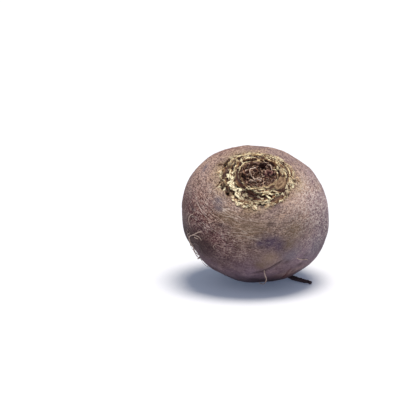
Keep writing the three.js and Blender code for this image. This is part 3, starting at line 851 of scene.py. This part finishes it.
def finish(name, ground, patterns, cuts, layers, relief, roughness, gloss, lines=None):
    """A weathered material, from patterns in mm and from the marks that its mesh carries.

    patterns: how far each is drawn out along its axes, its size and its finer octaves. cuts: a pattern or
    mark, and the values where the cut is 0 and 1. lines: a pattern, and the value that the line follows and
    its width. layers: colour, strength and limits. relief: heights in mm. roughness: where low, where high.
    """
    material = bpy.data.materials.new(name)
    tree = bare_tree(material)
    lie = add(tree, "Attribute", attribute_name="lie", output="Vector")
    known = {}
    for pattern, (drawn_out, size, octaves) in patterns.items():
        scale = tuple(1 / (size * stretch) for stretch in drawn_out)
        place = add(tree, "VectorMath", {0: lie, 1: scale}, operation="MULTIPLY")
        inputs = {"Vector": place, "Scale": 1, "Detail": octaves, "Roughness": 0.62}
        known[pattern] = add(tree, "TexNoise", inputs)
    for cut, (pattern, low, high) in cuts.items():
        if pattern not in known:
            known[pattern] = add(tree, "Attribute", attribute_name=pattern, output="Fac")
        inputs = {"Value": known[pattern], "From Min": low, "From Max": high}
        known[cut] = add(tree, "MapRange", inputs, interpolation_type="SMOOTHSTEP")
    for line, (pattern, middle, width) in (lines or {}).items():
        off = add(tree, "Math", {0: known[pattern], 1: middle}, operation="SUBTRACT")
        off = add(tree, "Math", {0: off}, operation="ABSOLUTE")
        inputs = {"Value": off, "From Min": width, "From Max": 0}
        known[line] = add(tree, "MapRange", inputs, interpolation_type="SMOOTHSTEP")
    colour = linear(ground)
    for over, strength, *limits in layers:
        cover = strength
        for limit in limits:
            if limit not in known:
                known[limit] = add(tree, "Attribute", attribute_name=limit, output="Fac")
            cover = add(tree, "Math", {0: cover, 1: known[limit]}, operation="MULTIPLY")
        mix = {0: cover, 6: colour, 7: linear(over)}
        colour = add(tree, "Mix", mix, 2, data_type="RGBA", clamp_factor=True)
    height = 0.0
    for pattern, tall in relief.items():
        inputs = {0: known[pattern], 1: tall, 2: height}
        height = add(tree, "Math", inputs, operation="MULTIPLY_ADD")
    bump = add(tree, "Bump", {"Height": height, "Strength": 1, "Distance": MM})
    pattern, low, high = roughness
    inputs = {"Value": known[pattern], "From Min": 0.3, "From Max": 0.7, "To Min": low, "To Max": high}
    rough = add(tree, "MapRange", inputs)
    inputs = {"Base Color": colour, "Roughness": rough, "Normal": bump}
    inputs.update({"IOR": TISSUE_IOR, "Specular IOR Level": gloss})
    add(tree, "OutputMaterial", {"Surface": add(tree, "BsdfPrincipled", inputs)})
    return material


# Skin shrinks between tail and crown as it dries, so that most patterns on it are drawn out round the root.
EVEN = (1, 1, 1)


def corky_skin():
    """Dry russeted root skin: thin matt cork over the flesh, wrinkled round the root as it lost water.
    To the eye it is a dusty mauve with paler tan streaks and dots, and never shines."""
    patterns = dict(
        streak=((5, 5, 1), 0.6, 3), wrinkle=((7, 7, 1), 2.4, 1), scale=((1.6, 1.6, 1), 1.5, 2),
        stroke=((3, 3, 1), 0.9, 3), mottle=((1.3, 1.3, 1), 1.2, 4), dust=((1.5, 1.5, 1), 0.55, 3),
        cloud=(EVEN, 10, 3), haze=(EVEN, 16, 2), blotch=((1.5, 1.5, 1), 4.5, 3),
    )
    cuts = dict(
        tan_top_and_painted_shade=("down", 0.52, 0.16), clouded=("cloud", 0.36, 0.6), shaded=("cloud", 0.5, 0.36),
        hazy=("haze", 0.42, 0.6), light_streaks=("streak", 0.53, 0.62), dark_streaks=("streak", 0.47, 0.38),
        stray_lines=("streak", 0.585, 0.64), light_strokes=("stroke", 0.51, 0.6),
        dark_strokes=("stroke", 0.49, 0.4), dark_mottle=("mottle", 0.49, 0.36),
        light_mottle=("mottle", 0.51, 0.64), light_dust=("dust", 0.52, 0.62), dark_dust=("dust", 0.48, 0.38),
        specks=("dust", 0.57, 0.62), dark_blotch=("blotch", 0.48, 0.34), light_blotch=("blotch", 0.52, 0.66),
    )
    layers = [
        # The tan of the upper skin fades to the darker mauve ground below it: partly the skin's own colour,
        # partly painted shade, darker towards the bottom.
        ("#a98976", 0.95, "tan_top_and_painted_shade"), ("#b89a85", 0.5, "tan_top_and_painted_shade", "clouded"), ("#88727c", 0.5, "hazy"),
        ("#543d44", 0.45, "dark_blotch"), ("#a58c86", 0.35, "light_blotch"), ("#4a3540", 0.3, "shaded"),
        ("#8d7785", 0.65, "lilac"), ("#9a6350", 0.45, "rust"), ("#692c33", 0.75, "ruddy"),
        ("#d8b8ac", 0.4, "blush"), ("#b59c68", 0.5, "straw"), ("#5a4652", 0.6, "plum"),
        ("#c4a999", 0.25, "light_streaks", "rugged"), ("#4d3638", 0.45, "dark_streaks", "rugged"),
        ("#4d393d", 0.25, "dark_mottle"), ("#4d393d", 0.3, "dark_mottle", "rugged"),
        ("#bfa598", 0.2, "light_mottle", "rugged"), ("#a58f88", 0.22, "light_dust"),
        ("#d9c0ad", 0.36, "light_dust", "rugged"), ("#3a272b", 0.4, "dark_dust"),
        ("#2c1c1f", 0.65, "dark_dust", "rugged"), ("#4f2a24", 0.6, "dark_mottle", "freckled"),
        ("#3a211d", 0.5, "dark_dust", "freckled"), ("#d2b09c", 0.4, "specks", "freckled"),
        ("#f2e0d4", 0.5, "stray_lines", "lined"), ("#35191f", 0.45, "dark_dust", "lined"),
        ("#6c593f", 0.55, "olive"), ("#655e69", 0.65, "slate"), ("#3b2c49", 0.7, "blue"),
        # painted_shade darkens the lower left and lower front as painted shade.
        ("#271116", 0.85, "painted_shade"), ("#3b2d33", 0.85, "root"), ("#e9d6c9", 0.5, "wrinkle_line", "lined"),
        ("#e9d9ce", 0.65, "scale_line", "scaly"), ("#38262a", 0.6, "pits"), ("#86684f", 0.9, "crown"),
        ("#dcc396", 0.8, "crown", "light_strokes"), ("#321a10", 0.8, "crown", "dark_strokes"),
        ("#886c55", 0.9, "worn"), ("#50371f", 0.65, "worn", "dark_strokes"),
        ("#b49a76", 0.55, "worn", "light_strokes"), ("#c9ad84", 0.5, "ridge"), ("#55382f", 0.95, "dish"),
        ("#82624a", 0.8, "dish", "light_mottle"), ("#230f12", 0.85, "dish", "dark_mottle"),
        ("#d6ae9a", 0.7, "dish", "specks"), ("#80544f", 0.8, "rosy"), ("#2a1b1f", 0.9, "crease"),
        # The near-black of slit and hollow is painted shade in the crevices of the crown, over their real
        # grooves.
        ("#4a2422", 0.85, "crack"), ("#200906", 0.95, "slit"), ("#1e0705", 0.95, "hollow"),
    ]
    lines = dict(wrinkle_line=("wrinkle", 0.5, 0.022), scale_line=("scale", 0.5, 0.055))
    relief = dict(streak=0.1, mottle=0.1, dust=0.04, wrinkle_line=0.08, stroke=0.1)
    roughness = ("mottle", 0.6, 0.76)
    return finish("corky_root_skin", "#59444a", patterns, cuts, layers, relief, roughness, 0.2, lines)


def dry_leaf_base():
    """Leaf base dried to straw: fibrous and papery, pale along its torn edge, and near black low down and
    where it is sunk: partly its own dark base, partly painted shade between the leaf bases.
    """
    patterns = dict(fibre=((5, 1, 1), 0.5, 3), stain=((1.8, 1, 1), 1.7, 2), paper=((1.5, 1, 1), 0.8, 3))
    cuts = dict(
        raised=("rise", 0.5, 0.74), upper=("rise", 0.6, 0.95), stained=("stain", 0.52, 0.43),
        fresh=("stain", 0.46, 0.53), whole=("paper", 0.42, 0.5), threads=("fibre", 0.54, 0.62),
        gaps=("fibre", 0.49, 0.42),
    )
    layers = [
        # Below its raised part it keeps the near-black ground: partly its own dark base, partly painted shade
        # in the crevices between leaf bases.
        ("#6f5140", 0.85, "outer"), ("#784e33", 0.95, "raised"), ("#9b7250", 0.8, "upper"),
        ("#bd986a", 0.5, "upper", "straw"), ("#c4a25a", 0.7, "gold", "raised"),
        ("#a38369", 0.5, "outer", "raised"), ("#431e0d", 0.8, "stained"),
        ("#e5cf9d", 0.4, "threads", "upper", "straw"), ("#2a0b04", 0.88, "gaps"), ("#8f6a45", 0.4, "cut"),
        ("#efd6a0", 0.65, "cut", "straw", "fresh"), ("#fff1c6", 1, "rim", "fresh"),
        ("#6e4624", 0.9, "bleached"), ("#fbeec8", 0.95, "bleached", "whole"),
        ("#cd9d74", 0.45, "bleached", "outer", "stained"), ("#371307", 0.88, "rotted"),
        ("#886c55", 0.9, "worn"),
    ]
    relief, roughness = dict(fibre=0.15, stain=0.1), ("fibre", 0.62, 0.74)
    return finish("dry_straw_leaf_base", "#220905", patterns, cuts, layers, relief, roughness, 0.3)


def withered_scale():
    """Stub of a young leaf, withered: thin purple-brown tissue, torn along a pinkish fibrous edge."""
    patterns = dict(fibre=((4, 1, 1), 0.5, 3), stain=(EVEN, 1.6, 2))
    cuts = dict(
        raised=("rise", 0, 0.6), upper=("rise", 0.5, 0.9), stained=("stain", 0.52, 0.42),
        fresh=("stain", 0.48, 0.54),
    )
    layers = [
        ("#5c3a30", 0.95, "raised"), ("#87624b", 0.7, "upper"), ("#cfae94", 0.5, "cut", "straw"),
        ("#2c1116", 0.75, "stained"), ("#f5dfcd", 0.7, "rim", "fresh"),
        ("#eccfb4", 0.5, "upper", "bleached"), ("#ffe8d6", 1, "cut", "bleached"),
    ]
    relief, roughness = dict(fibre=0.15, stain=0.1), ("fibre", 0.72, 0.85)
    return finish("withered_young_leaf", "#1c0f0e", patterns, cuts, layers, relief, roughness, 0.12)


def withered_stalk():
    """Cut leaf stalk, dried out: a brown-purple rind round a pithy hollow with pale torn strands."""
    patterns = dict(pith=(EVEN, 1.4, 5), strand=(EVEN, 0.7, 4), patch=(EVEN, 2.2, 3))
    cuts = dict(
        pithy=("pith", 0.47, 0.6), holes=("pith", 0.48, 0.4), strands=("strand", 0.5, 0.58),
        fresh=("patch", 0.44, 0.54), sunken=("hollow", 0.3, 0.6),
    )
    layers = [
        ("#88634c", 0.8, "pithy"), ("#8c5c62", 0.85, "flesh"), ("#926e58", 0.6, "rim"),
        ("#f4d8bf", 0.95, "rim", "fresh", "strands"), ("#32171b", 0.85, "sunken"), ("#1a080b", 0.9, "holes"),
        ("#22090d", 0.94, "rotted"),
    ]
    relief, roughness = dict(pith=0.5, strand=0.25), ("pith", 0.74, 0.86)
    return finish("withered_stalk", "#613f37", patterns, cuts, layers, relief, roughness, 0.12)


def dry_rootlet():
    """Thin root dried in the air: a pale tan, wiry skin with darker bark left on it in flecks."""
    patterns = dict(fleck=(EVEN, 0.7, 3))
    cuts = dict(bark=("fleck", 0.5, 0.36), bare=("fleck", 0.5, 0.64))
    layers = [("#b39c90", 0.9, "pale"), ("#d3beb0", 0.5, "bare"), ("#4a3633", 0.5, "bark")]
    relief, roughness = dict(fleck=0.1), ("fleck", 0.6, 0.7)
    return finish("dry_rootlet", "#57423f", patterns, cuts, layers, relief, roughness, 0.3)


# ---- build the beetroot

SOLID_DRAWS = Draws(20)  # the solid's own, so that what it has is found in the same places
LEAVES = [*first_leaves(SOLID_DRAWS)]
LEAF_SHREDS = [*torn_shreds(Draws(77)), *scattered_crumbs(Draws(61))]
LEAF_FLAKES = [*placed_scraps(FLAKES, Draws(55), FLAKE_EDGES, FLAKE_THICKNESS)]


def blades(leaves, seed):
    return [leaf_blade(leaf, seed + i) for i, leaf in enumerate(leaves)]


leaf_finish = dry_leaf_base()
root_finish = dry_rootlet()
skin_finish = corky_skin()
piece_of("root_skin", [skin()], skin_finish)
piece_of("leaf_bases", blades(LEAVES, 0), leaf_finish)
piece_of("leaf_shreds", blades(LEAF_SHREDS, 100), leaf_finish)
piece_of("leaf_flakes", blades(LEAF_FLAKES, 200), leaf_finish)
piece_of("heart_scales", blades(heart_scales(Draws(33)), 300), withered_scale())
piece_of("cut_stalks", [cut_stalk(i, SOLID_DRAWS) for i in range(STALKS)], withered_stalk())
piece_of("tail", [tail()], skin_finish)
piece_of("side_roots", [*side_roots(SOLID_DRAWS)], root_finish)
piece_of("hair_roots", [*hair_roots(Draws(91))], root_finish)

# ---- floor, light and camera

FLOOR_HALF = 12  # metres
FLOOR_GAP = 0.02  # mm under the flat spot, so that the two don't share a plane
# The board's bluish glow is painted light that lightens the shadow on it.
BOARD_GLOW, BOARD_GLOW_STRENGTH = "#9aaed6", 0.17


def pale_board():
    """Matt white board with only the faintest cloudiness. It glows faintly bluish, as painted light, so that
    the shadow on it stays soft and bluish."""
    material = bpy.data.materials.new("matt_white_board")
    tree = bare_tree(material)
    place = add(tree, "TexCoord", output="Object")
    cloud = add(tree, "TexNoise", {"Vector": place, "Scale": 3, "Detail": 2})
    whites = {0: cloud, 6: linear("#dcdcdd"), 7: linear("#e0e0e2")}
    colour = add(tree, "Mix", whites, 2, data_type="RGBA")
    inputs = {"Base Color": colour, "Roughness": 0.9, "Specular IOR Level": 0.1}
    inputs.update({"Emission Color": linear(BOARD_GLOW), "Emission Strength": BOARD_GLOW_STRENGTH})
    add(tree, "OutputMaterial", {"Surface": add(tree, "BsdfPrincipled", inputs)})
    return material


def floor():
    z = CAD_LOW.z - FLOOR_GAP * MM
    corners = [(x * FLOOR_HALF, y * FLOOR_HALF, z) for x, y in ((-1, -1), (1, -1), (1, 1), (-1, 1))]
    board = object_of("floor", mesh_of("floor", corners, [(0, 1, 2, 3)], pale_board()))


LAMP_FROM, LAMP_SPREAD = Vector((0.12, 0.1, 1)), math.radians(30)
LAMP_COLOUR, LAMP_STRENGTH = (1, 0.94, 0.87), 3.5
ROOM_GLOW = np.array([0.78, 0.9, 1.1]) * 0.35
WALL_COLOUR = (1, 1, 1, 1)
WALL_TOP = (0.12, 0.25)  # how high the bright wall reaches, and where it has faded out: sines of the angle


def light():
    """One broad lamp overhead, a little to the right and the back, in a dim room with a bright low wall."""
    lamp = bpy.data.lights.new("overhead_lamp", "SUN")
    lamp.color = LAMP_COLOUR
    lamp.energy = LAMP_STRENGTH
    lamp.angle = LAMP_SPREAD
    object_of("overhead_lamp", lamp).rotation_euler = LAMP_FROM.to_track_quat("Z", "Y").to_euler()
    room = bpy.data.worlds.new("pale_room")
    tree = bare_tree(room)
    way_out = add(tree, "TexCoord", output="Generated")
    height = add(tree, "SeparateXYZ", {0: way_out}, "Z")
    wall = {"Value": height, "From Min": WALL_TOP[1], "From Max": WALL_TOP[0]}
    wall = add(tree, "MapRange", wall, interpolation_type="SMOOTHSTEP")
    colour = add(tree, "Mix", {0: wall, 6: (*ROOM_GLOW, 1), 7: WALL_COLOUR}, 2, data_type="RGBA")
    add(tree, "OutputWorld", {"Surface": add(tree, "Background", {"Color": colour})})
    bpy.context.scene.world = room


PICTURE = 420  # pixels a side
SHOWN_AT = (255.4, 215.3)  # the pixel that shows the middle of the frame's box
LENS, SENSOR = 94, 36
DISTANCE = 551 * MM  # to the middle of that box, along the view
ELEVATION = math.radians(13)


def camera():
    lens = bpy.data.cameras.new("camera")
    lens.lens = LENS
    lens.sensor_width = SENSOR
    lens.clip_start = 0.01
    lens.clip_end = 100
    holder = object_of("camera", lens)
    holder.rotation_euler = (np.pi / 2 - ELEVATION, 0, 0)
    right, up, back = holder.rotation_euler.to_matrix().transposed()
    pixel = DISTANCE * SENSOR / LENS / PICTURE
    across = (SHOWN_AT[0] - PICTURE / 2) * pixel
    down = (SHOWN_AT[1] - PICTURE / 2) * pixel
    holder.location = (CAD_LOW + CAD_HIGH) / 2 - across * right + down * up + DISTANCE * back
    bpy.context.scene.camera = holder


floor()
light()
camera()
bpy.context.scene.view_settings.view_transform = "Standard"
